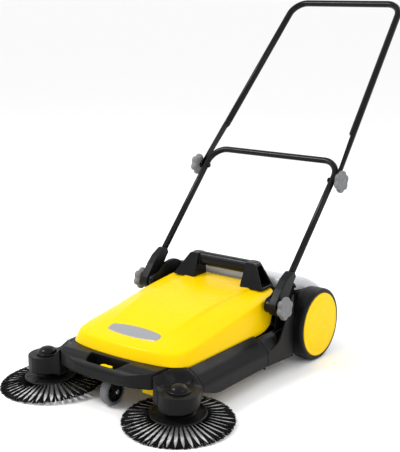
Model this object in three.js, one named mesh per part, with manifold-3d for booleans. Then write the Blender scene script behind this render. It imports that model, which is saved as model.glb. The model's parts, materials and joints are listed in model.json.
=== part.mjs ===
// Walk behind push sweeper: a yellow hood on a black chassis, two driven wheels, a main roller,
// two side brushes, a front castor, a rear dirt container and a two-stage folding push handle.
// Millimetres, +Z up. The machine's front faces -Y, and "right" is the +X side.
// The origin is on the floor, under the middle of the machine.

import * as THREE from "three";
import { ConvexGeometry } from "three/addons/geometries/ConvexGeometry.js";
import { mergeVertices } from "three/addons/utils/BufferGeometryUtils.js";
import Module from "manifold-3d";

const wasm = await Module();
wasm.setup();

// ---------------------------------------------------------------- driving dimensions
const GAP = 0.3; // clearance between touching pieces
const DEG = Math.PI / 180;

const wheel = { y: 71, z: 100, r: 100, inner: 203, outer: 253, discR: 88 };
const gear = { module: 4, ringTeeth: 40, pinionTeeth: 10, width: 9.5, addendum: 2.6, dedendum: 3.1 };
const roller = { z: 93, halfLength: 168, coreR: 26, tipR: 91, shaftR: 6, fins: 12 };
roller.centreDistance = ((gear.ringTeeth - gear.pinionTeeth) * gear.module) / 2;
roller.y = wheel.y - Math.sqrt(roller.centreDistance ** 2 - (wheel.z - roller.z) ** 2);

const frame = { inner: 188, thick: 4, fender: 12 };
const axleR = 6;
const body = {
  half: 230, // outer face of the side walls
  wall: 4,
  rimZ: 119, // the hood's lower edge
  rimHalf: 183,
  frontY: -558,
  seamY: -158,
  rearY: -33,
  sillZ: 30, // lower edge of the side walls
  shelfY: -86, // rear end of the ledge inside the rear walls
};
const deck = { bottom: 80, top: 124, underHood: 116, halfFlat: 88, half: 150, backY: -441 };
const slot = { backY: -508, frontY: -546, backHalf: 64, frontHalf: 51, corner: 8 }; // for a hand
const nose = { x: 213, y: -514, r: 50, bottom: 46, top: 88 };
const arm = { inner: 151, innerY: -535, rear: -441, rearBottom: 60 };
arm.corner = { x: 172, y: -543 }; // where the inner face meets the nose
arm.flank = { x: 260, y: -498 }; // where the outer face leaves the nose
const shoulder = { inX: 185, inZ: 117.6, creaseX: 208, creaseZ: 105, outZ: 80 };
const brush = { x: 205, y: -506, z: 10.5, rimR: 135, plateR: 70, forward: 3.6, outward: 2.2 };
const belt = { x: 196.5, width: 5, r: 13, frontY: -440, frontZ: 74, thick: 3 };
const guard = { x0: 84, x1: 132, y0: -494, y1: -474, bottom: 47, top: 78 };
const castor = { y: -527, trail: 20, r: 36, width: 24, legHalf: 13, legThick: 3.5, crownZ: 73 };
const wing = { r: 12.5, reach: 5.5, top: 106 };
const pivot = { y: -99, z: 187, boltR: 4, washerR: 20 };
const tube = { half: 216, lowerR: 9, upperR: 10, bend: 50, footZ: 22 };
const socket = { half: 11.5, r: 24 };
const lower = { lean: 43.4, crossbar: 467.5, fold: 404.5, socketTop: 108 };
const upper = { lean: 43.8, length: 652, footHalf: 225, topHalf: 187, flatX: 226, pressed: 150 };
const knob = { r: 29, lobe: 2.8, lobes: 6, thick: 17 };
const drainHole = { height: 103, r: 2.5 };
const carry = { inner: 77, outer: 150, topInner: 80, topOuter: 108, foot: 210, top: 275 };
const container = { half: 184, wall: 3, frontY: 104, bottom: 20 };

const colours = {
  yellow: ["#ffd400", 0.35, 0.0],
  black: ["#2b2b2d", 0.6, 0.0],
  tube: ["#1c1c1e", 0.4, 0.3],
  rubber: ["#161616", 0.9, 0.0],
  bristle: ["#121212", 0.9, 0.0],
  grey: ["#7a7c7e", 0.6, 0.0],
  tyreGrey: ["#6f7072", 0.8, 0.0],
  silver: ["#c4c6c8", 0.35, 0.4],
  steel: ["#b5b7ba", 0.3, 0.9],
};

// ---------------------------------------------------------------- geometry helpers
function toSolid(geometry) {
  const plain = geometry.clone();
  plain.deleteAttribute("normal");
  plain.deleteAttribute("uv");
  const merged = mergeVertices(plain, 1e-4);
  const mesh = new wasm.Mesh({
    numProp: 3,
    vertProperties: new Float32Array(merged.attributes.position.array),
    triVerts: new Uint32Array(merged.index.array),
  });
  return new wasm.Manifold(mesh);
}

function toGeometry(solid) {
  const mesh = solid.getMesh();
  const geometry = new THREE.BufferGeometry();
  geometry.setAttribute("position", new THREE.BufferAttribute(mesh.vertProperties, 3));
  geometry.setIndex(new THREE.BufferAttribute(mesh.triVerts, 1));
  geometry.computeVertexNormals();
  return geometry;
}

const combine = (how, first, rest) =>
  toGeometry(rest.reduce((solid, other) => solid[how](toSolid(other)), toSolid(first)));
const join = (first, ...rest) => combine("add", first, rest);
const cut = (first, ...rest) => combine("subtract", first, rest);
const common = (first, ...rest) => combine("intersect", first, rest);

// The mirror image of a piece across the plane x = 0, with its faces still pointing out.
function mirrored(geometry) {
  const flipped = geometry.index ? geometry.clone() : mergeVertices(geometry.clone());
  flipped.scale(-1, 1, 1);
  const index = flipped.index.array;
  for (let i = 0; i < index.length; i += 3) [index[i], index[i + 1]] = [index[i + 1], index[i]];
  flipped.computeVertexNormals();
  return flipped;
}

// A closed outline whose corners are rounded; a corner's own radius can follow its two coordinates.
function outline(points, radius = 0) {
  const shape = new THREE.Shape();
  points.forEach(([x, y, own], i) => {
    const here = new THREE.Vector2(x, y);
    const before = new THREE.Vector2(...points.at(i - 1).slice(0, 2)).sub(here);
    const after = new THREE.Vector2(...points[(i + 1) % points.length].slice(0, 2)).sub(here);
    const r = Math.min(own ?? radius, before.length() * 0.49, after.length() * 0.49);
    const start = here.clone().addScaledVector(before.normalize(), r);
    const end = here.clone().addScaledVector(after.normalize(), r);
    if (i === 0) shape.moveTo(start.x, start.y);
    else shape.lineTo(start.x, start.y);
    if (r > 0) shape.quadraticCurveTo(x, y, end.x, end.y);
  });
  shape.closePath();
  return shape;
}

const block = (shape, depth, segments = 3) =>
  new THREE.ExtrudeGeometry(shape, { depth, bevelEnabled: false, curveSegments: segments });

// An outline in (x, y), standing from z0 to z1.
const upright = (shape, z0, z1, segments) => block(shape, z1 - z0, segments).translate(0, 0, z0);

// An outline in (y, z), running across the machine from x0 to x1.
function across(shape, x0, x1, segments) {
  const turn = new THREE.Matrix4().makeBasis(
    new THREE.Vector3(0, 1, 0),
    new THREE.Vector3(0, 0, 1),
    new THREE.Vector3(1, 0, 0),
  );
  return block(shape, x1 - x0, segments).applyMatrix4(turn).translate(x0, 0, 0);
}

// An outline in (x, z), running along the machine from y0 to y1.
const along = (shape, y0, y1, segments) =>
  block(shape, y1 - y0, segments).rotateX(Math.PI / 2).translate(0, y1, 0);

// A solid of revolution about the X axis through (y, z); the profile is (radius, x).
function turned(profile, y, z, segments = 32) {
  const points = profile.map(([r, x]) => new THREE.Vector2(r, x));
  return new THREE.LatheGeometry(points, segments).rotateZ(-Math.PI / 2).translate(0, y, z);
}

// A tyre: the same, grown and turned by half a facet so that it stands on a flat of the tread.
function tread(profile, y, z, segments) {
  const halfFacet = Math.PI / segments;
  const grown = profile.map(([r, x]) => [r / Math.cos(halfFacet), x]);
  return turned(grown, 0, 0, segments).rotateX(halfFacet).translate(0, y, z);
}

const rod = (r, x0, x1, y, z, segments = 12) =>
  turned([[0, x0], [r, x0], [r, x1], [0, x1]], y, z, segments);

// A solid of revolution about a vertical axis; the profile is (radius, z).
const spun = (profile, segments = 32) =>
  new THREE.LatheGeometry(profile.map(([r, z]) => new THREE.Vector2(r, z)), segments)
    .rotateX(Math.PI / 2);

function mesh(name, geometry, [color, roughness, metalness]) {
  const piece = new THREE.Mesh(
    geometry,
    new THREE.MeshStandardMaterial({ color, roughness, metalness }),
  );
  piece.name = name;
  return piece;
}

const machine = new THREE.Group();

// Adds a piece of the right-hand side and its mirror image.
function addPair(name, geometry, colour, group = machine) {
  group.add(mesh(`${name}_right`, geometry, colour));
  group.add(mesh(`${name}_left`, mirrored(geometry), colour));
}

// ---------------------------------------------------------------- chassis
function frontDeck() {
  const plan = outline([
    [-deck.half, deck.backY], [-deck.half, body.frontY + 25, 10], [-deck.halfFlat, body.frontY, 30],
    [deck.halfFlat, body.frontY, 30], [deck.half, body.frontY + 25, 10], [deck.half, deck.backY],
  ]);
  const side = outline([
    [body.frontY - 1, deck.bottom], [-497, deck.bottom], [-495, 104], [deck.backY + 1, 104],
    [deck.backY + 1, deck.top - 6], [-520, deck.top], [-548, 117, 12], [body.frontY - 1, 101, 6],
  ]);
  const { backY, frontY, backHalf, frontHalf, corner } = slot;
  const hand = outline([[-backHalf, backY], [-frontHalf, frontY], [frontHalf, frontY],
    [backHalf, backY]], corner);
  return cut(
    common(across(side, -deck.half, deck.half), upright(plan, deck.bottom - 10, deck.top + 10)),
    upright(hoodPlan(2), deck.underHood, deck.top + 20),
    upright(hand, deck.bottom - 5, deck.top + 5),
  );
}

// The right half of the hood's lower edge, from the rear to the middle of the front.
function rimPoints(inset) {
  const half = body.rimHalf - inset;
  return [
    [half, -62], [half, -430], [half - 8, -449 + inset], [half - 22, -466 + inset],
    [141, -476 + inset], [70, -487 + inset], [0, -491 + inset],
  ];
}

// The hood's whole outline on the deck, grown by a margin.
function hoodPlan(margin) {
  const right = rimPoints(-margin);
  const left = right.slice(0, -1).map(([x, y]) => [-x, y]).reverse();
  return outline([...right, ...left]);
}

// Height of the arm's top: a ledge round the cap that rises to the shoulder beside the hood.
function armTop(x, y) {
  const { inX, inZ, creaseX, creaseZ, outZ } = shoulder;
  const away = Math.hypot(x - nose.x, y - nose.y);
  const rise = THREE.MathUtils.smoothstep(away, nose.r - 5, nose.r + 15);
  const side = x < creaseX
    ? THREE.MathUtils.mapLinear(Math.max(x, inX), inX, creaseX, inZ, creaseZ)
    : THREE.MathUtils.mapLinear(Math.min(x, body.half), creaseX, body.half, creaseZ, outZ);
  return nose.top + (side - nose.top) * rise;
}

// Where the arm begins and ends across the machine, at a distance along it.
function armReach(y) {
  const half = Math.sqrt(Math.max(nose.r ** 2 - (y - nose.y) ** 2, 0));
  const { corner, flank, innerY } = arm;
  const inner = y < corner.y
    ? nose.x - half
    : THREE.MathUtils.mapLinear(Math.min(y, innerY), corner.y, innerY, corner.x, arm.inner);
  const outer = y < flank.y
    ? nose.x + half
    : THREE.MathUtils.mapLinear(y, flank.y, arm.rear, flank.x, body.half);
  return [inner, outer];
}

// Skins a row of outlines that all have the same number of points, and closes both ends.
function skin(rings) {
  const count = rings[0].length;
  const index = [];
  for (let i = 0; i < rings.length - 1; i++) {
    for (let k = 0; k < count; k++) {
      const [a, b] = [i * count + k, i * count + ((k + 1) % count)];
      index.push(a, b, b + count, a, b + count, a + count);
    }
  }
  const last = (rings.length - 1) * count;
  for (let k = 1; k < count - 1; k++) {
    index.push(0, k + 1, k, last, last + k, last + k + 1);
  }
  const geometry = new THREE.BufferGeometry().setFromPoints(rings.flat());
  geometry.setIndex(index);
  return geometry;
}

function brushArm() {
  const stations = 16;
  const samples = 9;
  const front = nose.y - nose.r + 0.5;
  const rings = [];
  for (let i = 0; i <= stations; i++) {
    const y = THREE.MathUtils.lerp(front, arm.rear, (i / stations) ** 1.25);
    const [inner, outer] = armReach(y);
    const bottom = THREE.MathUtils.mapLinear(y, front, arm.rear, nose.bottom, arm.rearBottom);
    const ring = [new THREE.Vector3(inner, y, bottom), new THREE.Vector3(outer, y, bottom)];
    for (let k = 0; k < samples; k++) {
      const x = THREE.MathUtils.lerp(outer, inner, k / (samples - 1));
      ring.push(new THREE.Vector3(x, y, armTop(x, y)));
    }
    rings.push(ring.reverse());
  }
  const beltRoom = upright(outline([[172, -459], [214, -459], [214, -430], [172, -430]]), 50, 95);
  const shaftBore = spun([[0, 40], [14, 40], [14, 60], [0, 60]], 16).translate(brush.x, brush.y, 0);
  return cut(skin(rings), beltRoom, shaftBore);
}

function sidePanel() {
  const { inX, inZ, creaseX, creaseZ, outZ } = shoulder;
  const section = outline([
    [inX, inZ], [creaseX, creaseZ, 6], [body.half, outZ, 8], [body.half, body.sillZ],
    [body.half - body.wall, body.sillZ], [body.half - body.wall, outZ - 2, 6],
    [creaseX - 2, creaseZ - 4, 6], [inX, inZ - 4],
  ]);
  const side = outline([
    [-440.7, 64], [-379, 42, 20], [body.seamY - GAP, 42], [body.seamY - GAP, 130], [-440.7, 130],
  ]);
  return common(along(section, -445, -150), across(side, 180, 235));
}

function rearSidePanel() {
  const wall = across(outline([
    [body.seamY + GAP, 42, 1], [body.rearY, 33, 1], [body.rearY, 209, 6], [-46, 203, 10],
    [-61, 172, 14], [-80, 128, 16], [-104, 92, 20], [body.seamY + GAP, shoulder.outZ, 4],
  ]), body.half - body.wall, body.half);
  const shelf = along(outline([
    [193, 113.5], [208, 104.6, 6], [body.half - 0.5, 79.5], [body.half - 0.5, 75.5],
    [206, 100.6, 6], [193, 109.5],
  ]), body.seamY + GAP, body.shelfY);
  return join(wall, shelf);
}

// The plate that carries the roller, a wheel and the handle, with a rounded fender above it.
function frameSide() {
  const plate = outline([
    [-156, 46, 6], [-156, 108, 6], [-66, 110, 4], [-60, 150, 6], [-86, 162, 10], [-114, 172, 10],
    [-119, 190, 10], [-110, 208, 12], [-88, 210, 10], [-62, 226, 14], [-40, 233, 12], [-18, 235, 12],
    [4, 231, 14], [24, 216, 12], [34, 194, 6], [48, 187, 8], [80, 189, 12], [108, 187, 12],
    [122, 176, 10], [118, 60, 20], [60, 34, 20], [-60, 34, 20],
  ]);
  const fender = outline([
    [-78, 207, 3], [-62, 226, 14], [-40, 233, 12], [-18, 235, 12], [4, 231, 14], [24, 216, 12],
    [29, 206, 3], [18, 206, 6], [0, 222, 10], [-20, 226, 10], [-40, 224, 10], [-66, 206, 4],
  ]);
  const x = frame.inner;
  return cut(
    join(across(plate, x, x + frame.thick), across(fender, x, x + frame.fender)),
    rod(pivot.boltR + GAP, x - 5, x + 10, pivot.y, pivot.z),
    rod(roller.shaftR + GAP, x - 5, x + 10, roller.y, roller.z, 16),
    rod(axleR + GAP, x - 5, x + 10, wheel.y, wheel.z, 16),
  );
}

// A curved sheet over the front of the roller.
function rollerCover() {
  const shape = new THREE.Shape();
  const [r, thick] = [roller.tipR + 5, 3];
  shape.absarc(roller.y, roller.z, r + thick, 98 * DEG, 195 * DEG, false);
  shape.absarc(roller.y, roller.z, r, 195 * DEG, 98 * DEG, true);
  shape.closePath();
  return across(shape, -roller.halfLength - 5, roller.halfLength + 5, 12);
}

machine.add(mesh("front_deck", frontDeck(), colours.black));
addPair("brush_arm", brushArm(), colours.black);
addPair("side_panel", sidePanel(), colours.black);
addPair("rear_side_panel", rearSidePanel(), colours.black);
addPair("frame_side", frameSide(), colours.black);
addPair("brush_cap", spun([[0, nose.top + GAP], [28, nose.top + GAP], [28, nose.top + 5],
  [24, nose.top + 12], [14, nose.top + 16.5], [0, nose.top + 18]], 20)
  .translate(nose.x, nose.y, 0.9), colours.black);
machine.add(mesh("roller_cover", rollerCover(), colours.black));
machine.add(mesh("front_flap", across(outline([[-101, 5], [-98, 5], [-98, 66], [-101, 66]]),
  -185, 185), colours.rubber));

// ---------------------------------------------------------------- hood, badge and carry handle
function hoodPoints(inset) {
  const z = body.rimZ;
  const half = body.rimHalf - inset;
  const points = [];
  const both = (x, y, height) => {
    points.push(new THREE.Vector3(x, y, height), new THREE.Vector3(-x, y, height));
  };
  rimPoints(inset).forEach(([x, y]) => both(x, y, z));
  both(half, -430, z + 8 - inset);
  both(half, -62, z + 20 - inset);
  // top of the steep band
  both(half - 6, -62, 190 - inset);
  both(half - 6, -165, 183 - inset);
  both(half - 7, -250, 166 - inset);
  both(half - 18, -165, 196 - inset);
  both(half - 10, -420 + inset, 148 - inset);
  both(half - 28, -450 + inset, 147 - inset);
  both(130, -464 + inset, 148 - inset);
  both(60, -476 + inset, 149 - inset);
  both(0, -479 + inset, 149 - inset);
  // crown
  both(100, -395, 172 - inset);
  both(104, -340, 187 - inset);
  both(104, -270, 202 - inset);
  both(104, -190, 208 - inset);
  both(104, -3 - inset, 209.5 - inset);
  both(150, -3 - inset, 208 - inset);
  both(half - 16, -30 - inset, 206 - inset);
  both(half - 9, -60, 201 - inset);
  // rear edge
  both(150, -3 - inset, z);
  return points;
}

function hood() {
  const inner = new ConvexGeometry(hoodPoints(3.5));
  inner.translate(0, 0, -0.6); // opens the underside
  return cut(new ConvexGeometry(hoodPoints(0)), inner,
    across(outline([[-66, 110], [6, 110], [6, 192], [-66, 192]]), -190, 190));
}

// A lens-shaped plate lying on the hood's front slope.
function badgePlate() {
  const shape = new THREE.Shape();
  shape.moveTo(-82, 0);
  shape.lineTo(-76, 12);
  shape.quadraticCurveTo(0, 26, 76, 12);
  shape.lineTo(82, 0);
  shape.lineTo(76, -12);
  shape.quadraticCurveTo(0, -26, -76, -12);
  return block(shape, 2, 5).rotateX(18.5 * DEG).translate(0, -420, 168);
}

function carryHandle() {
  const { inner, outer, topInner, topOuter, foot, top } = carry;
  const bar = across(outline([[-41, 246], [-40, 262], [-33, top], [-14, top], [-10, 262],
    [-10, 246], [-18, 238], [-32, 238]], 5), -topOuter + 2, topOuter - 2);
  const leg = (side) => {
    const front = along(outline([[inner, foot], [topInner, top], [topOuter, top, 8],
      [outer, foot]], 3), -70, -6);
    const lean = across(outline([[-69, foot], [-42, top + 1], [-13, top + 1], [-8, foot]]), 60, 160);
    const pocket = common(
      along(outline([[94, foot + 6], [96, top - 10], [118, top - 10], [168, foot + 6]], 3), -70, -6),
      across(outline([[-61, foot + 5], [-38, top - 9], [-17, top - 9], [-14, foot + 5]]), 60, 170),
    );
    const piece = cut(common(front, lean), pocket);
    return side > 0 ? piece : mirrored(piece);
  };
  return join(bar, leg(1), leg(-1));
}

machine.add(mesh("hood", hood(), colours.yellow));
machine.add(mesh("badge_plate", badgePlate(), colours.silver));
machine.add(mesh("carry_handle", carryHandle(), colours.black));

// ---------------------------------------------------------------- castor and height knob
function castorFork() {
  const { y, trail, r, legHalf, legThick, crownZ } = castor;
  const axleY = y + trail;
  const crown = upright(outline([[-legHalf - legThick, y - 16, 8], [legHalf + legThick, y - 16, 8],
    [legHalf + legThick, axleY + 12, 4], [-legHalf - legThick, axleY + 12, 4]]),
  crownZ, crownZ + 2.7);
  const spindle = spun([[0, crownZ + 1], [5, crownZ + 1], [5, 84], [0, 84]], 12).translate(0, y, 0);
  const legs = [-1, 1].map((side) => cut(
    across(outline([[axleY - 8, 29, 7], [axleY + 8, 29, 7], [axleY + 11, crownZ + 1],
      [y - 6, crownZ + 1]]), ...[side * legHalf, side * (legHalf + legThick)].sort((a, b) => a - b)),
    rod(3 + GAP, -30, 30, axleY, r),
  ));
  return join(crown, spindle, ...legs);
}

function castorMount() {
  const plate = upright(outline([[-62, -550], [62, -550], [62, -500], [-62, -500]], 6), 76, 79.7);
  return cut(plate, spun([[0, 70], [5.4, 70], [5.4, 90], [0, 90]], 12).translate(0, castor.y, 0));
}

function heightKnob() {
  const shape = new THREE.Shape();
  const steps = 24;
  for (let i = 0; i < steps; i++) {
    const a = (i / steps) * 2 * Math.PI;
    const r = wing.r + wing.reach * Math.cos(2 * a);
    shape[i ? "lineTo" : "moveTo"](r * Math.cos(a), r * Math.sin(a));
  }
  return cut(
    upright(shape, 80, wing.top),
    spun([[0, 70], [5.4, 70], [5.4, 86], [0, 86]], 12),
  ).translate(0, castor.y, 0);
}

const castorY = castor.y + castor.trail;
machine.add(mesh("castor_mount", castorMount(), colours.black));
machine.add(mesh("castor_fork", castorFork(), colours.black));
machine.add(mesh("castor_tyre", tread([[26, -12], [34, -12], [castor.r, -9], [castor.r, 9],
  [34, 12], [26, 12], [26, -12]], castorY, castor.r, 28), colours.tyreGrey));
machine.add(mesh("castor_hub", turned([[3 + GAP, -12.4], [9, -12.4], [9, -8], [20, -8], [20, -11.5],
  [26 - GAP, -11.5], [26 - GAP, 11.5], [20, 11.5], [20, 8], [9, 8], [9, 12.4], [3 + GAP, 12.4],
  [3 + GAP, -12.4]], castorY, castor.r, 20), colours.black));
machine.add(mesh("castor_bolt", turned([[0, -20], [6, -20], [6, -17], [3, -17], [3, 17], [6, 17],
  [6, 20], [0, 20]], castorY, castor.r, 12), colours.steel));
machine.add(mesh("height_knob", heightKnob(), colours.yellow));
addPair("brush_guard", upright(outline([[guard.x0, guard.y0], [guard.x1, guard.y0],
  [guard.x1, guard.y1], [guard.x0, guard.y1]], 4), guard.bottom, guard.top), colours.yellow);

// ---------------------------------------------------------------- wheels and gears
// A toothed outline: teeth stand between the root and tip radii, one of them centred on the start.
function toothed(PathClass, teeth, radii, shares, start) {
  const path = new PathClass();
  const pitch = (2 * Math.PI) / teeth;
  let first = true;
  const point = (r, a) => {
    path[first ? "moveTo" : "lineTo"](r * Math.cos(a), r * Math.sin(a));
    first = false;
  };
  for (let i = 0; i < teeth; i++) {
    const middle = start + i * pitch;
    radii.forEach((r, k) => point(r, middle - shares[k] * pitch));
    [...radii].reverse().forEach((r, k) => point(r, middle + shares[shares.length - 1 - k] * pitch));
  }
  path.closePath();
  return path;
}

const pinionAngle = Math.atan2(roller.z - wheel.z, roller.y - wheel.y);
const ringPitch = (2 * Math.PI) / gear.ringTeeth;

function wheelRim() {
  const { inner, outer, discR } = wheel;
  const pitchR = (gear.ringTeeth * gear.module) / 2;
  const barrel = turned([[9, inner + 4], [20, inner + 4], [20, outer - 20], [84.2, outer - 20],
    [84.2, inner], [discR - GAP, inner], [discR - GAP, outer - 8], [9, outer - 8],
    [9, inner + 4]], 0, 0, 40);
  const disc = new THREE.Shape().absarc(0, 0, 85.5, 0, 2 * Math.PI);
  disc.holes.push(toothed(THREE.Path, gear.ringTeeth,
    [pitchR + gear.dedendum, pitchR - gear.addendum], [0.29, 0.1], pinionAngle + ringPitch / 2));
  const teeth = across(disc, inner, inner + gear.width, 10);
  return join(barrel, teeth).translate(0, wheel.y, wheel.z);
}

function pinion() {
  const pitchR = (gear.pinionTeeth * gear.module) / 2;
  const shape = toothed(THREE.Shape, gear.pinionTeeth,
    [pitchR - gear.dedendum, pitchR + gear.addendum], [0.28, 0.1], pinionAngle);
  return cut(
    across(shape, wheel.inner, wheel.inner + gear.width),
    rod(roller.shaftR + GAP, wheel.inner - 5, wheel.inner + 20, 0, 0, 16),
  ).translate(0, roller.y, roller.z);
}

const tyreSection = [
  [wheel.discR, wheel.inner], [96, wheel.inner], [wheel.r, wheel.inner + 6],
  [wheel.r, wheel.outer - 6], [96, wheel.outer], [wheel.discR, wheel.outer],
  [wheel.discR, wheel.inner],
];
const capSection = [
  [0, wheel.outer - 7], [wheel.discR - GAP, wheel.outer - 7], [wheel.discR - GAP, wheel.outer - 1],
  [wheel.discR - 6, wheel.outer + 1], [30, wheel.outer + 2], [0, wheel.outer + 2],
];
const axleSection = [
  [0, frame.inner - 5], [12, frame.inner - 5], [12, frame.inner - GAP],
  [axleR, frame.inner - GAP], [axleR, frame.inner + frame.thick + GAP],
  [8.6, frame.inner + frame.thick + GAP],
  [8.6, wheel.outer - 12], [0, wheel.outer - 12],
];
addPair("wheel_tyre", tread(tyreSection, wheel.y, wheel.z, 40), colours.rubber);
addPair("wheel_rim", wheelRim(), colours.black);
addPair("hub_cap", turned(capSection, wheel.y, wheel.z, 36), colours.yellow);
addPair("stub_axle", turned(axleSection, wheel.y, wheel.z, 16), colours.steel);
addPair("pinion", pinion(), colours.grey);

// ---------------------------------------------------------------- main roller and belts
function rollerBristles() {
  const shape = toothed(THREE.Shape, roller.fins, [roller.coreR + 12, roller.tipR], [0.24, 0.2], 0);
  return cut(
    across(shape, -roller.halfLength, roller.halfLength),
    rod(roller.coreR + GAP, -roller.halfLength - 5, roller.halfLength + 5, 0, 0, 24),
  ).translate(0, roller.y, roller.z);
}

const rollerEnd = wheel.inner + gear.width + 3;
const rollerCore = turned([
  [0, -rollerEnd], [roller.shaftR, -rollerEnd], [roller.shaftR, -frame.inner + 4],
  [roller.coreR, -frame.inner + 4], [roller.coreR, frame.inner - 4],
  [roller.shaftR, frame.inner - 4], [roller.shaftR, rollerEnd], [0, rollerEnd],
], roller.y, roller.z, 24);

// A grooved belt pulley with a bore for its shaft.
function pulley(y, z, boreR) {
  const [x0, x1] = [belt.x - 3.6, belt.x + 3.6];
  return turned([[boreR + GAP, x0], [belt.r + 3, x0], [belt.r + 3, x0 + 0.8], [belt.r, x0 + 0.8],
    [belt.r, x1 - 0.8], [belt.r + 3, x1 - 0.8], [belt.r + 3, x1], [boreR + GAP, x1],
    [boreR + GAP, x0]], y, z, 16);
}

function beltLoop(PathClass, r) {
  const path = new PathClass();
  const slope = Math.atan2(roller.z - belt.frontZ, roller.y - belt.frontY);
  path.absarc(roller.y, roller.z, r, slope - Math.PI / 2, slope + Math.PI / 2, false);
  path.absarc(belt.frontY, belt.frontZ, r, slope + Math.PI / 2, slope + 1.5 * Math.PI, false);
  path.closePath();
  return path;
}

function driveBelt() {
  const shape = beltLoop(THREE.Shape, belt.r + GAP + belt.thick);
  shape.holes.push(beltLoop(THREE.Path, belt.r + GAP));
  return across(shape, belt.x - belt.width / 2, belt.x + belt.width / 2, 8);
}

machine.add(mesh("roller_core", rollerCore, colours.grey));
machine.add(mesh("roller_bristles", rollerBristles(), colours.bristle));
addPair("roller_pulley", pulley(roller.y, roller.z, roller.shaftR), colours.grey);
addPair("front_pulley", pulley(belt.frontY, belt.frontZ, 0.7), colours.grey);
addPair("drive_belt", driveBelt(), colours.rubber);

// ---------------------------------------------------------------- side brushes
const brushTilt = new THREE.Euler(brush.forward * DEG, brush.outward * DEG, 0);
const tilted = (geometry) => geometry
  .applyMatrix4(new THREE.Matrix4().makeRotationFromEuler(brushTilt))
  .translate(brush.x, brush.y, brush.z);

const brushPlate = spun([[0, 20], [66, 18], [brush.plateR, 20], [brush.plateR, 23], [40, 28],
  [22, 30], [9, 33], [9, 40], [0, 40]], 24);
const brushRing = spun([[44, 12], [66, 10], [brush.rimR, 0.2], [brush.rimR, 2.5], [100, 10],
  [66, 17.4], [44, 18.6], [44, 12]], 40);
addPair("brush_plate", tilted(brushPlate), colours.black);
addPair("brush_bristles", tilted(brushRing), colours.bristle);

// ---------------------------------------------------------------- dirt container
function containerShell() {
  const outer = outline([
    [8, 216], [14, 228, 6], [40, 234, 14], [121, 212, 30], [186, 178, 40], [236, 130, 40],
    [252, 100, 20], [252, container.bottom, 8], [container.frontY, container.bottom],
    [container.frontY, 26], [container.frontY, 198, 1], [8, 198],
  ]);
  const inner = outline([
    [4, 200], [16, 224, 6], [40, 230, 14], [120, 208, 28], [183, 175, 38], [232, 129, 38],
    [249, 98, 18], [249, container.bottom + 4, 6], [container.frontY - 3, container.bottom + 4],
    [container.frontY - 3, 190], [4, 190],
  ]);
  const plan = outline([[-container.half, 0], [container.half, 0], [container.half, 253, 40],
    [-container.half, 253, 40]]);
  const room = outline([[-container.half + 3, -5], [container.half - 3, -5],
    [container.half - 3, 250, 38], [-container.half + 3, 250, 38]]);
  return cut(
    common(across(outer, -container.half, container.half), upright(plan, 0, 260)),
    common(across(inner, -container.half + 3, container.half - 3), upright(room, 0, 260)),
  );
}

const containerGrip = join(
  across(outline([[252.3, 92], [280, 88], [282, 94], [256, 99]], 2), -60, 60),
  across(outline([[252.3, 62], [257, 62], [257, 98], [252.3, 98]], 1), -60, 60),
);
machine.add(mesh("container_shell", containerShell(), colours.silver));
machine.add(mesh("container_grip", containerGrip, colours.black));

// ---------------------------------------------------------------- push handle
// A path that steps straight from one station to the next.
class Stations extends THREE.Curve {
  constructor(points) {
    super();
    this.points = points;
  }
  getPoint(t) {
    const last = this.points.length - 1;
    const i = Math.min(Math.floor(t * last), last - 1);
    return this.points[i].clone().lerp(this.points[i + 1], t * last - i);
  }
  getUtoTmapping(u) {
    return u;
  }
}

// An upside-down U of round tube: feet at +-footHalf, the bar at +-topHalf, in the (x, z) plane.
function bentTube(r, footHalf, footZ, topHalf, topZ, bend) {
  const leg = new THREE.Vector2(topHalf - footHalf, topZ - footZ).normalize();
  const corner = new THREE.Vector2(topHalf, topZ);
  const turn = Math.PI / 2 - Math.atan2(-leg.x, leg.y);
  const reach = bend * Math.tan(turn / 2);
  const start = corner.clone().addScaledVector(leg, -reach);
  const centre = new THREE.Vector2(start.x - bend * leg.y, start.y + bend * leg.x);
  const startAngle = Math.atan2(start.y - centre.y, start.x - centre.x);
  const right = [new THREE.Vector3(footHalf, 0, footZ)];
  const steps = 6;
  for (let i = 0; i <= steps; i++) {
    const a = startAngle + (turn * i) / steps;
    right.push(new THREE.Vector3(centre.x + bend * Math.cos(a), 0, centre.y + bend * Math.sin(a)));
  }
  const left = right.map((p) => new THREE.Vector3(-p.x, 0, p.z)).reverse();
  const points = [...right, ...left];
  const section = new THREE.Shape().absarc(0, 0, r, 0, 2 * Math.PI);
  return new THREE.ExtrudeGeometry(section, {
    steps: points.length - 1,
    extrudePath: new Stations(points),
    curveSegments: 6,
  });
}

function lowerHandle() {
  const hole = rod(pivot.boltR + GAP, -240, 240, 0, lower.fold);
  const { lowerR, half, footZ, bend } = tube;
  return cut(bentTube(lowerR, half, footZ, half, lower.crossbar, bend), hole);
}

// The socket that holds one leg of the lower tube and turns on the pivot bolt.
function handleSocket() {
  const shape = new THREE.Shape();
  shape.absarc(0, 0, socket.r, Math.PI * 0.97, Math.PI * 2.03, false);
  shape.lineTo(20, 40);
  shape.lineTo(12, lower.socketTop - 24);
  shape.lineTo(11.5, lower.socketTop - 6);
  shape.lineTo(-4, lower.socketTop);
  shape.lineTo(-14, lower.socketTop - 8);
  shape.lineTo(-25, lower.socketTop - 40);
  shape.lineTo(-26.5, 38);
  shape.closePath();
  return cut(
    across(shape, tube.half - socket.half, tube.half + socket.half, 8),
    rod(pivot.boltR + GAP, tube.half - 20, tube.half + 20, 0, 0),
    spun([[0, tube.footZ - GAP], [tube.lowerR + GAP, tube.footZ - GAP], [tube.lowerR + GAP, 200],
      [0, 200]], 16).translate(tube.half, 0, 0),
  );
}

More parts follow.
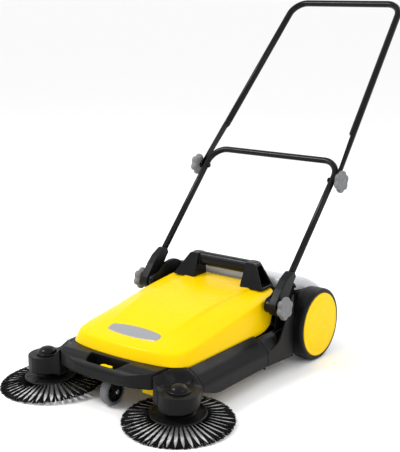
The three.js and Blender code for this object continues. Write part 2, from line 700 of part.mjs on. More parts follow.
// The upper tube. Its feet are pressed in from the inside, so they lie against the lower tube, and
// each has a small drain hole above the fold.
function upperHandle() {
  const { footHalf, topHalf, flatX, pressed, length } = upper;
  const press = along(outline([[190, -30], [flatX, -30], [flatX, 40], [217, pressed],
    [204, pressed + 14], [190, pressed + 14]]), -20, 20);
  const end = rod(tube.upperR, flatX, footHalf + 9, 0, 0, 16);
  const legs = cut(bentTube(tube.upperR, footHalf, 0, topHalf, length, tube.bend),
    press, mirrored(press));
  return cut(
    join(legs, end, mirrored(end)),
    rod(pivot.boltR + GAP, -250, 250, 0, 0),
    rod(drainHole.r, -250, 250, 0, drainHole.height, 8),
  );
}

// A lobed clamping knob on the end of a bolt.
function starKnob(x) {
  const shape = new THREE.Shape();
  const steps = knob.lobes * 6;
  for (let i = 0; i < steps; i++) {
    const a = (i / steps) * 2 * Math.PI;
    const r = knob.r + knob.lobe * Math.cos(knob.lobes * a);
    shape[i ? "lineTo" : "moveTo"](r * Math.cos(a), r * Math.sin(a));
  }
  return cut(across(shape, x, x + knob.thick), rod(pivot.boltR + GAP, x - 5, x + 12, 0, 0));
}

const lowerGroup = new THREE.Group();
lowerGroup.position.set(0, pivot.y, pivot.z);
lowerGroup.rotation.x = -lower.lean * DEG;
const foldGroup = new THREE.Group();
foldGroup.position.set(0, 0, lower.fold);
const upperGroup = new THREE.Group();
upperGroup.rotation.x = -(upper.lean - lower.lean) * DEG;

const frameOuter = frame.inner + frame.thick;
const socketInner = tube.half - socket.half;
const socketOuter = tube.half + socket.half;
const pivotSection = [
  [0, frame.inner - 4], [7, frame.inner - 4], [7, frame.inner - GAP],
  [pivot.boltR, frame.inner - GAP], [pivot.boltR, frameOuter + GAP],
  [pivot.washerR, frameOuter + GAP], [pivot.washerR, socketInner - GAP],
  [pivot.boltR, socketInner - GAP], [pivot.boltR, socketOuter + 12], [0, socketOuter + 12],
];
addPair("handle_socket", handleSocket(), colours.black, lowerGroup);
addPair("pivot_bolt", turned(pivotSection, 0, 0, 12), colours.black, lowerGroup);
addPair("pivot_knob", starKnob(socketOuter + 5), colours.grey, lowerGroup);
lowerGroup.add(mesh("lower_handle", lowerHandle(), colours.tube));

const tubeInner = tube.half - tube.lowerR;
const strapOuter = upper.footHalf + tube.upperR + GAP;
const foldSection = [
  [0, tubeInner - 5], [8, tubeInner - 5], [8, tubeInner - GAP], [pivot.boltR, tubeInner - GAP],
  [pivot.boltR, strapOuter + 11], [0, strapOuter + 11],
];
addPair("fold_bolt", turned(foldSection, 0, 0, 12), colours.black, foldGroup);
addPair("fold_knob", starKnob(strapOuter + GAP), colours.grey, foldGroup);
upperGroup.add(mesh("upper_handle", upperHandle(), colours.tube));

foldGroup.add(upperGroup);
lowerGroup.add(foldGroup);
machine.add(lowerGroup);

export default machine;
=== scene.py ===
"""Looks of a walk behind sweeper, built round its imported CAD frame.

Shapes are worked out in millimetres, in the frame's own axes (+Z up, front towards -Y), and
place() turns them into Blender objects in metres.
"""
import json
import math
import random

import bmesh
import bpy
import numpy as np
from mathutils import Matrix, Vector
from mathutils.bvhtree import BVHTree


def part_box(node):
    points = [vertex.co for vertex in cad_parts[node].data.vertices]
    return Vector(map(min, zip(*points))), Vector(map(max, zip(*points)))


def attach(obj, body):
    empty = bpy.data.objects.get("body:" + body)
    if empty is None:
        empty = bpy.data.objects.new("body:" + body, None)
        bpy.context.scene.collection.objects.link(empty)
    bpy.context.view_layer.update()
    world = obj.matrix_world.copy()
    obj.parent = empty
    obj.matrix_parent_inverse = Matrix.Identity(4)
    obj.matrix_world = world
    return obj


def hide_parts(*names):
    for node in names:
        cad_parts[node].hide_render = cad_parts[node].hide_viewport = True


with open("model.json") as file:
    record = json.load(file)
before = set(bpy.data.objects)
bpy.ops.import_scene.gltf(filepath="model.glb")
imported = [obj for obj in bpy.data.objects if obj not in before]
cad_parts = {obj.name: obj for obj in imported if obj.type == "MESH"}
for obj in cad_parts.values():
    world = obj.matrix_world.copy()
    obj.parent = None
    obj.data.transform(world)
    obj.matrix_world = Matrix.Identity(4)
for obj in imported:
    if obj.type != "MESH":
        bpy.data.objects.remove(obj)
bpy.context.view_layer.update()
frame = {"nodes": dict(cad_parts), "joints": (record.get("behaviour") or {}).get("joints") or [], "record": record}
MM = 0.001
SIDES = (("right", 1), ("left", -1))


def mm_box(node):
    low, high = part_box(node)
    return low / MM, high / MM


# ---------------------------------------------------------------- camera, light and floor
def make_camera():
    data = bpy.data.cameras.new("camera")
    data.lens = 80.57
    data.sensor_width = 36
    camera = bpy.data.objects.new("camera", data)
    camera.location = (1.5619, -2.2524, 1.0047)
    camera.rotation_euler = (math.radians(90 - 13.33), 0, math.radians(36.53))
    bpy.context.scene.collection.objects.link(camera)
    bpy.context.scene.camera = camera


def area_light(name, location, target, size, power):
    data = bpy.data.lights.new(name, "AREA")
    data.shape = "RECTANGLE"
    data.size, data.size_y = size
    data.energy = power
    light = bpy.data.objects.new(name, data)
    light.location = location
    light.rotation_euler = (Vector(target) - Vector(location)).to_track_quat("-Z", "Y").to_euler()
    bpy.context.scene.collection.objects.link(light)


def make_studio():
    world = bpy.data.worlds.new("studio")
    world.use_nodes = True
    background = world.node_tree.nodes["Background"]
    background.inputs["Color"].default_value = (1, 1, 1, 1)
    background.inputs["Strength"].default_value = 1.0
    bpy.context.scene.world = world
    bpy.context.scene.view_settings.view_transform = "Standard"
    area_light("key", (-1.6, -1.8, 2.6), (0, -0.2, 0.2), (0.9, 0.9), 62)
    area_light("side", (2.4, -0.6, 1.6), (0, -0.1, 0.2), (0.8, 1.6), 12)
    area_light("back", (0.4, 2.4, 2.2), (0, 0, 0.3), (2.0, 0.8), 22)
    bm = bmesh.new()
    bmesh.ops.create_grid(bm, x_segments=2, y_segments=2, size=60)
    mesh = bpy.data.meshes.new("floor")
    bm.to_mesh(mesh)
    floor = bpy.data.objects.new("floor", mesh)
    bpy.context.scene.collection.objects.link(floor)
    shader = bpy.data.materials.new("floor")
    shader.use_nodes = True
    principled = shader.node_tree.nodes["Principled BSDF"]
    principled.inputs["Base Color"].default_value = (0.96, 0.96, 0.96, 1)
    principled.inputs["Roughness"].default_value = 0.9
    principled.inputs["Specular IOR Level"].default_value = 0.1
    mesh.materials.append(shader)


# ---------------------------------------------------------------- materials
def material(name, colour, rough, metal=0.0, coat=0.0, spread=0.08, grain=700, bump=0.1,
             wear=0.0, stretch=(1, 1, 1), specular=0.5):
    """A moulded, coated or metal surface: uneven colour and gloss, fine grain, worn edges."""
    made = bpy.data.materials.new(name)
    made.use_nodes = True
    nodes, links = made.node_tree.nodes, made.node_tree.links
    shader = nodes["Principled BSDF"]
    shader.inputs["Metallic"].default_value = metal
    shader.inputs["Coat Weight"].default_value = coat
    shader.inputs["Coat Roughness"].default_value = 0.12
    shader.inputs["Specular IOR Level"].default_value = specular
    where = nodes.new("ShaderNodeTexCoord")
    mapping = nodes.new("ShaderNodeMapping")
    mapping.inputs["Scale"].default_value = stretch
    links.new(where.outputs["Object"], mapping.inputs["Vector"])

    def noise(scale, detail):
        node = nodes.new("ShaderNodeTexNoise")
        node.inputs["Scale"].default_value = scale
        node.inputs["Detail"].default_value = detail
        links.new(mapping.outputs["Vector"], node.inputs["Vector"])
        return node.outputs["Fac"]

    def remap(value, low, high):
        node = nodes.new("ShaderNodeMapRange")
        node.inputs["From Min"].default_value = 0.3
        node.inputs["From Max"].default_value = 0.7
        node.inputs["To Min"].default_value = low
        node.inputs["To Max"].default_value = high
        links.new(value, node.inputs["Value"])
        return node.outputs["Result"]

    def mix(factor, first, second):
        node = nodes.new("ShaderNodeMix")
        node.data_type = "RGBA"
        links.new(factor, node.inputs["Factor"])
        for value, socket in ((first, node.inputs["A"]), (second, node.inputs["B"])):
            if isinstance(value, tuple):
                socket.default_value = value
            else:
                links.new(value, socket)
        return node.outputs["Result"]

    cloudy = noise(9, 3)
    fine = noise(grain, 2)
    dark = tuple(c * (1 - spread) for c in colour) + (1,)
    light = tuple(min(c * (1 + spread), 1) for c in colour) + (1,)
    tint = mix(remap(cloudy, 0, 1), dark, light)
    if wear:
        edges = nodes.new("ShaderNodeNewGeometry")
        ramp = nodes.new("ShaderNodeMapRange")
        ramp.inputs["From Min"].default_value = 0.52
        ramp.inputs["From Max"].default_value = 0.62
        ramp.inputs["To Max"].default_value = wear
        links.new(edges.outputs["Pointiness"], ramp.inputs["Value"])
        pale = tuple(min(c * 1.8 + 0.05, 1) for c in colour) + (1,)
        tint = mix(ramp.outputs["Result"], tint, pale)
    links.new(tint, shader.inputs["Base Color"])
    links.new(remap(noise(40, 4), rough - 0.05, rough + 0.05), shader.inputs["Roughness"])
    height = nodes.new("ShaderNodeBump")
    height.inputs["Strength"].default_value = bump
    height.inputs["Distance"].default_value = 0.0004
    links.new(fine, height.inputs["Height"])
    links.new(height.outputs["Normal"], shader.inputs["Normal"])
    return made


YELLOW = material("hood_yellow", (0.86, 0.56, 0.0), 0.27, spread=0.015, grain=160, bump=0.002,
                  specular=0.07)
BLACK = material("black_plastic", (0.0045, 0.0045, 0.005), 0.4, spread=0.15, grain=1500, bump=0.2,
                 wear=0.2, specular=0.13)
GLOSS = material("black_gloss", (0.003, 0.003, 0.0035), 0.28, spread=0.15, grain=600, bump=0.05,
                 wear=0.15, specular=0.15)
TUBE = material("tube_black", (0.002, 0.002, 0.0025), 0.24, spread=0.15, grain=900, bump=0.1,
                wear=0.15, specular=0.17)
TYRE = material("tyre_black", (0.004, 0.004, 0.0045), 0.42, spread=0.2, grain=500, bump=0.2,
                wear=0.15, specular=0.15)
RUBBER = material("rubber", (0.012, 0.012, 0.012), 0.7, grain=600, bump=0.3, specular=0.2)
BRISTLE = material("bristle", (0.003, 0.003, 0.0035), 0.5, spread=0.35, grain=900, bump=0.1,
                   specular=0.08)
GREY = material("knob_grey", (0.15, 0.155, 0.16), 0.5, spread=0.07, grain=1300, bump=0.25, wear=0.3,
                specular=0.3)
CASTOR = material("castor_grey", (0.13, 0.133, 0.14), 0.6, spread=0.1, grain=600, bump=0.25,
                  specular=0.25)
SILVER = material("container_silver", (0.53, 0.54, 0.56), 0.33, coat=0.2, spread=0.03, grain=900,
                  bump=0.05)
BADGE = material("badge_silver", (0.34, 0.345, 0.36), 0.36, metal=0.6, spread=0.1, grain=260,
                 bump=0.2, stretch=(0.05, 1, 1))
STEEL = material("steel", (0.55, 0.55, 0.57), 0.25, metal=1.0, spread=0.06, grain=400, bump=0.15)


# ---------------------------------------------------------------- mesh tools
def place(name, vertices, faces, shade, body, slot, *nodes, smooth=True):
    """Makes a piece from millimetre vertices, hangs it on its body and hides the CAD nodes it stands for."""
    mesh = bpy.data.meshes.new(name)
    mesh.from_pydata([tuple(c * MM for c in v) for v in vertices], [], [tuple(f) for f in faces])
    mesh.validate()
    bm = bmesh.new()
    bm.from_mesh(mesh)
    bmesh.ops.remove_doubles(bm, verts=bm.verts, dist=1e-7)
    bmesh.ops.recalc_face_normals(bm, faces=bm.faces)
    bm.to_mesh(mesh)
    bm.free()
    mesh.polygons.foreach_set("use_smooth", [smooth] * len(mesh.polygons))
    piece = bpy.data.objects.new(name, mesh)
    bpy.context.scene.collection.objects.link(piece)
    return dress(piece, shade, body, slot, *nodes)


def dress(piece, shade, body, slot, *nodes):
    piece.data.materials.clear()
    piece.data.materials.append(shade)
    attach(piece, body)
    if nodes:
        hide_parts(*nodes)
    return piece


def bake_modifiers(piece):
    bpy.context.view_layer.update()
    graph = bpy.context.evaluated_depsgraph_get()
    mesh = bpy.data.meshes.new_from_object(piece.evaluated_get(graph))
    piece.modifiers.clear()
    piece.data = mesh
    return piece


def sharp_shade(piece, angle=35):
    """Smooth shading that keeps edges sharper than the angle."""
    mesh = piece.data
    bm = bmesh.new()
    bm.from_mesh(mesh)
    for edge in bm.edges:
        edge.smooth = len(edge.link_faces) == 2 and edge.calc_face_angle(0) < math.radians(angle)
    for face in bm.faces:
        face.smooth = True
    bm.to_mesh(mesh)
    bm.free()
    return piece


def turned(profile, centre, segments=96, axis="X", bend=None):
    """Vertices and faces of a profile (radius, place along the axis) spun round its axis."""
    vertices, faces = [], []
    for i in range(segments):
        a = 2 * math.pi * i / segments
        for r, along in profile:
            if bend:
                r, along = bend(r, along, a)
            u, v = r * math.cos(a), r * math.sin(a)
            point = (along, u, v) if axis == "X" else (u, v, along)
            vertices.append(tuple(p + c for p, c in zip(point, centre)))
    n = len(profile)
    for i in range(segments):
        j = (i + 1) % segments
        for k in range(n - 1):
            faces.append((i * n + k, i * n + k + 1, j * n + k + 1, j * n + k))
    return vertices, faces


def rounded(profile, radius=1.5, steps=3):
    """A profile with each inner corner replaced by a short arc."""
    out = [profile[0]]
    for before, here, after in zip(profile, profile[1:], profile[2:]):
        p, a, b = (np.array(q, float) for q in (here, before, after))
        la, lb = np.linalg.norm(a - p), np.linalg.norm(b - p)
        if la < 1e-6 or lb < 1e-6:
            continue
        r = min(radius, la * 0.45, lb * 0.45)
        start, end = p + (a - p) / la * r, p + (b - p) / lb * r
        for i in range(steps + 1):
            t = i / steps
            out.append(tuple((1 - t) ** 2 * start + 2 * t * (1 - t) * p + t * t * end))
    out.append(profile[-1])
    return out


def loft(rings, close=True, caps=True):
    """Joins rings of equal length into a tube, with flat caps."""
    n = len(rings[0])
    vertices = [tuple(p) for ring in rings for p in ring]
    faces = []
    for i in range(len(rings) - 1):
        for k in range(n if close else n - 1):
            m = (k + 1) % n
            faces.append((i * n + k, i * n + m, (i + 1) * n + m, (i + 1) * n + k))
    if caps:
        faces.append(tuple(range(n))[::-1])
        faces.append(tuple(range((len(rings) - 1) * n, len(rings) * n)))
    return vertices, faces


def merge(*meshes):
    vertices, faces = [], []
    for more_vertices, more_faces in meshes:
        start = len(vertices)
        vertices += more_vertices
        faces += [tuple(i + start for i in face) for face in more_faces]
    return vertices, faces


def moulded(name, nodes, voxel, soften, shade, body, slot):
    """A moulding with softened edges, grown from the CAD solids it stands for."""
    bm = bmesh.new()
    for node in nodes:
        bm.from_mesh(frame["nodes"][node].data)
    mesh = bpy.data.meshes.new(name)
    bm.to_mesh(mesh)
    bm.free()
    piece = bpy.data.objects.new(name, mesh)
    bpy.context.scene.collection.objects.link(piece)
    remesh = piece.modifiers.new("remesh", "REMESH")
    remesh.mode = "VOXEL"
    remesh.voxel_size = voxel * MM
    remesh.use_smooth_shade = True
    smooth = piece.modifiers.new("smooth", "SMOOTH")
    smooth.factor = 0.5
    smooth.iterations = soften
    bake_modifiers(piece)
    piece.data.polygons.foreach_set("use_smooth", [True] * len(piece.data.polygons))
    return dress(piece, shade, body, slot, *nodes)


def smoothstep(low, high, value):
    t = min(max((value - low) / (high - low), 0), 1)
    return t * t * (3 - 2 * t)


# ---------------------------------------------------------------- hood
# The right half of four rings, each from the rear corner round to the middle of the front.
RIM = [(183, -62, 110), (183, -165, 110), (183, -260, 110), (183, -350, 110), (183, -420, 111),
       (176, -451, 119), (160, -467, 119), (136, -476, 119), (96, -484, 119), (48, -489.5, 119),
       (0, -491, 119)]
BAND = [(177, -60, 197), (177.5, -165, 186), (177, -260, 170), (176, -350, 157.5),
        (174, -420, 150), (167, -440, 148.5), (153, -455, 148), (130, -464, 148), (92, -472, 148.5),
        (46, -477.5, 149), (0, -479, 149.5)]
SLOPE = [(163, -26, 208.5), (158, -150, 201.5), (150, -248, 186), (146, -335, 174),
         (141, -402, 163), (132, -425, 159.5), (119, -438, 158), (99, -446.5, 156.5),
         (70, -453, 156), (35, -457, 156), (0, -458.5, 156.5)]
FOOT = [(114, -4, 207.5), (113, -130, 205.5), (112, -235, 199.5), (111, -320, 186.5),
        (105, -385, 170.5), (93, -408, 165), (82, -419, 162.3), (66, -427, 160), (46, -433, 158.6),
        (23, -436, 158), (0, -437, 158)]
RIDGE = [(107, -3.2, 211.5), (106, -130, 211.5), (105, -235, 206.5), (103, -320, 193),
         (96, -378, 176), (86, -396, 170.5), (75, -406, 167.5), (60, -413, 165.8),
         (42, -418, 164.8), (21, -420, 164.3), (0, -421, 164.2)]


def hood_cage():
    """A cage of quads: three strips round the sides and front, and a panel between the ridges."""
    rings = []
    for half in (RIM, BAND, SLOPE, FOOT, RIDGE):
        rings.append(half + [(-x, y, z) for x, y, z in half[-2::-1]])
    vertices = [p for ring in rings for p in ring]
    count = len(rings[0])
    faces, creases = [], {}
    for r in range(len(rings) - 1):
        for k in range(count - 1):
            faces.append((r * count + k, r * count + k + 1, (r + 1) * count + k + 1,
                          (r + 1) * count + k))
    for k in range(count - 1):
        side = min(k, count - 2 - k)
        creases[(count + k, count + k + 1)] = 0.55 if side < 4 else 0.4
        if side < 3:
            creases[(3 * count + k, 3 * count + k + 1)] = 0.6
            creases[(4 * count + k, 4 * count + k + 1)] = 0.6
    # the panel: one row for each side station, the last one the front of the ridge ring
    start = 4 * count
    last = list(range(start + 4, start + count - 4))
    across = [rings[4][k - start][0] / RIDGE[4][0] for k in last]
    rows = []
    for i in range(4):
        x, y, z = RIDGE[i]
        row = []
        for k, share in enumerate(across):
            if k in (0, len(across) - 1):
                row.append(start + (i if k == 0 else count - 1 - i))
                continue
            sag = (1 - share * share) * (2.4 if i < 3 else 1.0)
            row.append(len(vertices))
            vertices.append((x * share, y, z - sag))
        rows.append(row)
    rows.append(last)
    for upper, lower in zip(rows, rows[1:]):
        for k in range(len(upper) - 1):
            faces.append((upper[k], lower[k], lower[k + 1], upper[k + 1]))
    return vertices, faces, creases


def make_hood():
    vertices, faces, creases = hood_cage()
    mesh = bpy.data.meshes.new("hood_shell")
    mesh.from_pydata([tuple(c * MM for c in v) for v in vertices], [], faces)
    bm = bmesh.new()
    bm.from_mesh(mesh)
    bm.verts.ensure_lookup_table()
    layer = bm.edges.layers.float.new("crease_edge")
    for (a, b), amount in creases.items():
        edge = bm.edges.get((bm.verts[a], bm.verts[b]))
        if edge:
            edge[layer] = amount
    bmesh.ops.recalc_face_normals(bm, faces=bm.faces)
    if sum(f.normal.z for f in bm.faces) < 0:
        bmesh.ops.reverse_faces(bm, faces=bm.faces)
    bm.to_mesh(mesh)
    bm.free()
    hood = bpy.data.objects.new("hood_shell", mesh)
    bpy.context.scene.collection.objects.link(hood)
    subdivide = hood.modifiers.new("subdivide", "SUBSURF")
    subdivide.levels = subdivide.render_levels = 3
    thick = hood.modifiers.new("thick", "SOLIDIFY")
    thick.thickness = 3 * MM
    thick.offset = -1
    bevel = hood.modifiers.new("bevel", "BEVEL")
    bevel.width = 0.8 * MM
    bevel.segments = 2
    bevel.angle_limit = math.radians(50)
    bake_modifiers(hood)
    hood.data.polygons.foreach_set("use_smooth", [True] * len(hood.data.polygons))
    return dress(hood, YELLOW, "chassis", "hood_yellow", "hood")


def make_badge(hood):
    """A blank lens-shaped plate that follows the hood's front slope."""
    bm = bmesh.new()
    bm.from_mesh(hood.data)
    tree = BVHTree.FromBMesh(bm)
    low, high = mm_box("badge_plate")
    half, middle = (high.x - low.x) / 2, (low.y + high.y) / 2
    reach = 20.5
    above_hood = 0.4
    columns, rows = 48, 12
    vertices, faces = [], []
    for i in range(columns + 1):
        x = half * (2 * i / columns - 1)
        share = abs(x / half)
        tall = reach * (1 - 0.42 * share ** 2) * (1 - share ** 24) ** 0.5 + 0.4
        for k in range(rows + 1):
            t = 2 * k / rows - 1
            y = middle + tall * t
            hit = tree.ray_cast(Vector((x * MM, y * MM, above_hood)), Vector((0, 0, -1)))[0]
            z = hit.z / MM
            edge = min((1 - abs(t)) * tall, (1 - share) * half)
            lift = 1.7 * smoothstep(0, 1.8, edge)
            vertices.append((x, y, z + 0.15 + lift))
    n = rows + 1
    for i in range(columns):
        for k in range(rows):
            faces.append((i * n + k, i * n + k + 1, (i + 1) * n + k + 1, (i + 1) * n + k))
    bm.free()
    place("badge_plain", vertices, faces, BADGE, "chassis", "badge_silver", "badge_plate")


# ---------------------------------------------------------------- chassis mouldings
def make_front():
    moulded("deck_moulding", ["front_deck"], 1.7, 9, BLACK, "chassis", "black_plastic")
    for side, _ in SIDES:
        moulded(f"arm_moulding_{side}", [f"brush_arm_{side}"], 1.5, 8, BLACK, "chassis",
                "black_plastic")


def make_sides():
    """The side walls, the rear walls behind their seams, and the plates with the fenders."""
    for side, _ in SIDES:
        moulded(f"side_moulding_{side}", [f"side_panel_{side}"], 1.3, 6, BLACK, "chassis",
                "black_plastic")
        moulded(f"rear_side_moulding_{side}", [f"rear_side_panel_{side}"], 1.2, 6, BLACK,
                "chassis", "black_plastic")
        moulded(f"fender_moulding_{side}", [f"frame_side_{side}"], 1.2, 6, BLACK, "chassis",
                "black_plastic")


def make_caps():
    """The round buttons over the side brush shafts."""
    for side, _ in SIDES:
        low, high = mm_box(f"brush_cap_{side}")
        centre = ((low.x + high.x) / 2, (low.y + high.y) / 2, low.z)
        r, tall = (high.x - low.x) / 2, high.z - low.z
        profile = [(r, 0), (r, 2.2), (r - 1.2, 3.2), (r - 3, 3.2), (r - 3.6, 2.4), (r - 4.2, 3.6)]
        steps = 14
        for i in range(steps + 1):
            a = math.pi / 2 * i / steps
            profile.append(((r - 4.4) * math.cos(a), 4.2 + (tall - 4.2) * math.sin(a)))
        place(f"cap_dome_{side}", *turned(profile, centre, 64, axis="Z"), GLOSS, "chassis",
              "black_gloss", f"brush_cap_{side}")


def make_carry_handle():
    moulded("carry_handle_moulding", ["carry_handle"], 1.0, 5, GLOSS, "chassis", "black_gloss")


# ---------------------------------------------------------------- castor and height knob
def make_castor():
    low, high = mm_box("castor_tyre")
    centre = ((low.x + high.x) / 2, (low.y + high.y) / 2, (low.z + high.z) / 2)
    r, half = (high.z - low.z) / 2, (high.x - low.x) / 2
    tyre = rounded([(r - 9, -half + 0.5), (r - 8, -half), (r - 3, -half), (r, -half + 4),
                    (r, half - 4), (r - 3, half), (r - 8, half), (r - 9, half - 0.5)], 2.5, 4)
    place("castor_tread", *turned(tyre, centre, 96), CASTOR, "castor_wheel", "castor_grey",
          "castor_tyre")
    hub = turned(rounded([(4, -half), (9, -half), (9, -2), (r - 13, -2), (r - 12, -half + 1),
                          (r - 9.6, -half + 1), (r - 9.6, half - 1), (r - 12, half - 1),
                          (r - 13, 2), (9, 2), (9, half), (4, half)], 0.8, 2), centre, 64)
    ribs = []
    for i in range(8):
        a = 2 * math.pi * i / 8
        out, flat = (math.cos(a), math.sin(a)), (-math.sin(a), math.cos(a))
        corners = [(8, -1.1), (r - 11, -1.1), (r - 11, 1.1), (8, 1.1)]
        rings = [[(centre[0] + x, centre[1] + out[0] * u + flat[0] * v,
                   centre[2] + out[1] * u + flat[1] * v) for u, v in corners]
                 for x in (-half + 2.5, half - 2.5)]
        ribs.append(loft(rings))
    sharp_shade(place("castor_centre", *merge(hub, *ribs), BLACK, "castor_wheel", "black_plastic",
                      "castor_hub"))
    low, high = mm_box("castor_bolt")
    reach = (high.x - low.x) / 2
    head = [(0, reach), (2.2, reach), (2.2, reach - 0.9), (3.6, reach - 0.9), (5.6, reach - 1.4),
            (6, reach - 2.2), (6, reach - 3), (3, reach - 3)]
    profile = head + [(r, -x) for r, x in reversed(head)]
    sharp_shade(place("castor_screw", *turned(profile, centre, 32), STEEL, "castor_swivel",
                      "steel", "castor_bolt"))
    sharp_shade(moulded("castor_yoke", ["castor_fork"], 0.7, 3, BLACK, "castor_swivel",
                        "black_plastic"), 60)
    moulded("height_wing", ["height_knob"], 0.7, 4, YELLOW, "height_knob", "hood_yellow")


# ---------------------------------------------------------------- wheels
def make_wheels():
    for side, sign in SIDES:
        body = f"wheel_{side}"
        low, high = mm_box(f"wheel_tyre_{side}")
        y, z = (low.y + high.y) / 2, (low.z + high.z) / 2
        r = (high.z - low.z) / 2
        inner, outer = (low.x, high.x) if sign > 0 else (high.x, low.x)

        def at(depth):
            """A distance out from the tyre's inner face."""
            return inner + sign * depth
        width = abs(outer - inner)
        flanks = [(r - 12, at(1)), (r - 11, at(0.2)), (r - 5, at(0)), (r - 1.6, at(2.5)),
                  (r - 0.2, at(7))]
        tread = [(r, at(width * t)) for t in (0.2, 0.4, 0.6, 0.8)]
        profile = flanks + tread + [(radius, at(width) - (x - inner)) for radius, x in flanks[::-1]]
        place(f"tyre_{side}", *turned(rounded(profile, 1.6, 4), (0, y, z), 160), TYRE, body,
              "tyre_black", f"wheel_tyre_{side}")
        low, high = mm_box(f"hub_cap_{side}")
        cap_r = (high.z - low.z) / 2
        face = high.x if sign > 0 else low.x
        base = low.x if sign > 0 else high.x

        ring_r, spokes, line_width, line_depth = cap_r - 13, 5, 0.9, 0.7

        def relief(radius, along, angle):
            """Shallow moulded lines on the cap's face: one ring and five soft spokes."""
            if radius < 14 or radius > cap_r - 9 or abs(along - base) < 2:
                return radius, along
            ring = math.exp(-((radius - ring_r) / line_width) ** 2)
            turn = (angle * spokes / (2 * math.pi)) % 1
            arc = abs(turn - 0.5) * 2 * math.pi / spokes * radius
            spoke = math.exp(-((arc - 9) / line_width) ** 2) if radius < ring_r else 0
            return radius, along - sign * line_depth * max(ring, spoke)
        radii = np.linspace(0.5, cap_r - 8, 46)
        profile = [(cap_r, base), (cap_r, face - sign * 2.2), (cap_r - 1, face - sign * 1.0),
                   (cap_r - 3, face - sign * 0.5), (cap_r - 5.5, face - sign * 0.7),
                   (cap_r - 7, face - sign * 1.5)]
        profile += [(radius, face - sign * (1.5 - 1.0 * smoothstep(cap_r - 8, cap_r - 24, radius)))
                    for radius in radii[::-1]]
        place(f"cap_{side}", *turned(profile, (0, y, z), 240, bend=relief), YELLOW, body,
              "hood_yellow", f"hub_cap_{side}")


# ---------------------------------------------------------------- side brushes
def brush_frame(side):
    """Where a side brush sits: its centre and its tilted axes, from its joint in the frame."""
    joint = next(j for j in frame["joints"] if j["child"] == f"side_brush_{side}")
    axis = Vector(joint["axis"]).normalized()
    turn = Vector((0, 0, 1)).rotation_difference(axis).to_matrix()
    return Vector(joint["pos_m"]) / MM, turn


def tilt(mesh, centre, turn):
    vertices, faces = mesh
    return [tuple(turn @ Vector(v) + centre) for v in vertices], faces


def make_side_brushes():
    rng = random.Random(7)
    for side, _ in SIDES:
        centre, turn = brush_frame(side)
        body = f"side_brush_{side}"
        rim = 69.5
        profile = rounded([(9, 39), (9.2, 33), (22, 30.5), (24, 27.5), (40, 27.5), (42, 25.8),
                           (62, 23.5), (rim - 2, 23.2), (rim, 22), (rim, 20), (66, 18), (44, 19.2),
                           (9, 20)], 1.2, 3)

        def ribbed(radius, along, angle):
            """Eight low sunken fields between the plate's ribs."""
            phase = (angle * 8 / (2 * math.pi)) % 1
            edge = smoothstep(0.04, 0.08, min(phase, 1 - phase))
            field = edge * smoothstep(43, 45, radius) * (1 - smoothstep(61, 63, radius))
            return radius, along - 0.9 * field * (along > 21)
        place(f"brush_disc_{side}", *tilt(turned(profile, (0, 0, 0), 160, "Z", ribbed), centre,
                                          turn), BLACK, body, "black_plastic",
              f"brush_plate_{side}")
        tufts, per_tuft = 42, 28
        strands = []
        pitch = 2 * math.pi / tufts
        for i in range(tufts):
            for _ in range(per_tuft):
                spread = rng.uniform(-1, 1)
                level = rng.random()
                a0 = pitch * (i + 0.08 * spread)
                a1 = pitch * (i + 0.5 * spread + rng.uniform(-0.05, 0.05))
                length = rng.uniform(131.5, 137)
                strands.append(strand(a0, a1, length, level, rng.uniform(0.75, 1.05)))
        place(f"brush_tufts_{side}", *tilt(merge(*strands), centre, turn), BRISTLE, body,
              "bristle", f"brush_bristles_{side}")


def strand(a0, a1, reach, level, thick):
    """One side brush bristle, from under the plate out and down to the rim."""
    rings = []
    steps, root = 4, 56
    for i in range(steps + 1):
        t = i / steps
        r = root + (reach - root) * t
        a = a0 + (a1 - a0) * t ** 2.6
        high = (12.4 + 5.0 * level) * (1 - t) ** 1.2 + (0.7 + 1.6 * level) * t
        w = thick * (1.25 - 0.45 * t)
        c, s = math.cos(a), math.sin(a)
        ring = [(r * c - w * s, r * s + w * c, high - 0.5 * w),
                (r * c + w * s, r * s - w * c, high - 0.5 * w),
                (r * c, r * s, high + 0.8 * w)]
        rings.append(ring)
    return loft(rings)


# ---------------------------------------------------------------- roller
def make_roller():
    low, high = mm_box("roller_bristles")
    joint = next(j for j in frame["joints"] if j["name"] == "roller_spin")
    y0, z0 = (v / MM for v in joint["pos_m"][1:])
    half, tip = (high.x - low.x) / 2, (high.z - low.z) / 2
    rng = random.Random(11)
    rows, per_row = 12, 150
    strands = []
    for row in range(rows):
        for i in range(per_row):
            x = -half + 2 + (2 * half - 4) * (i + rng.uniform(-0.3, 0.3)) / (per_row - 1)
            x = min(max(x, -half + 1), half - 1)
            a = 2 * math.pi * row / rows + 0.22 * math.sin(2 * math.pi * (x / half))
            a += rng.uniform(-0.035, 0.035)
            end = tip - rng.uniform(0.2, 3)
            lean = rng.uniform(-3, 3)
            rings = []
            for r, dx, w in ((25, 0, 1.5), (58, lean * 0.4, 1.4), (end, lean, 1.0)):
                c, s = math.cos(a), math.sin(a)
                x_here = min(max(x + dx, -half + 0.5), half - 0.5)
                rings.append([(x_here - w, y0 + r * c, z0 + r * s),
                              (x_here + w, y0 + r * c - w * s, z0 + r * s + w * c),
                              (x_here + w, y0 + r * c + w * s, z0 + r * s - w * c)])
            strands.append(loft(rings))
    place("roller_tufts", *merge(*strands), BRISTLE, "roller", "bristle", "roller_bristles")


